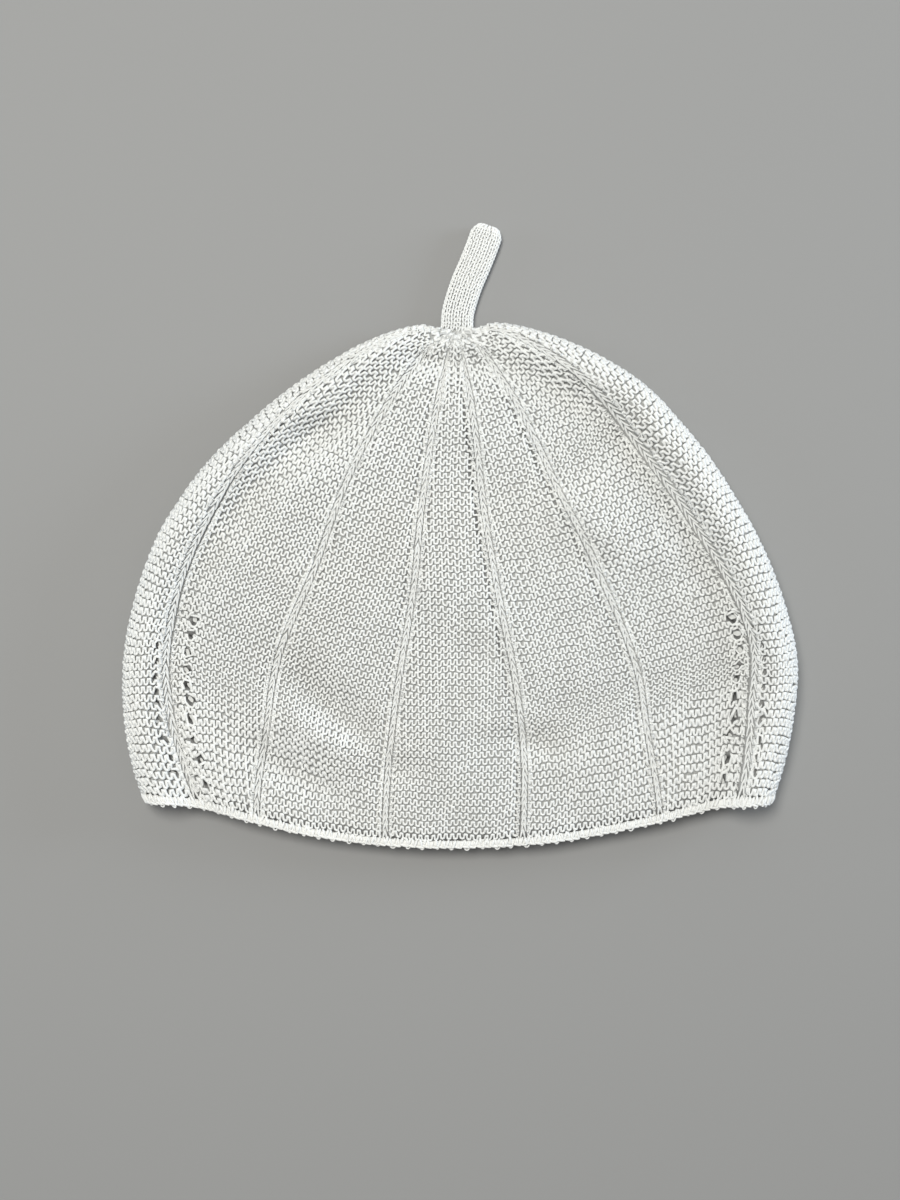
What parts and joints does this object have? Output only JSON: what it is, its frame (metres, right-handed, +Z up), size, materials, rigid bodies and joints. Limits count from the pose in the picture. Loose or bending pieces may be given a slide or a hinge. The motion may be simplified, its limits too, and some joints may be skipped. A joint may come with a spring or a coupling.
{
  "type": "knitted nightcap",
  "caption": "Soft knitted cotton nightcap with ribbed gores, a tight edge band and a short stem at the crown, lying folded flat.",
  "frame": {"origin": "on the surface the cap lies on, under the middle of its bounding box", "axes": "+X across the cap, +Y from the rim's opening towards the crown and stem, +Z up from the surface"},
  "size_m": [0.2498, 0.231, 0.0196],
  "materials": {
    "cotton_knit": "matte knitted cotton",
    "cotton_edge": "matte knitted cotton"
  },
  "bodies": {
    "root": {"cap_body": "cotton_knit", "rim_edge": "cotton_edge", "stem": "cotton_knit"}
  },
  "joints": []
}
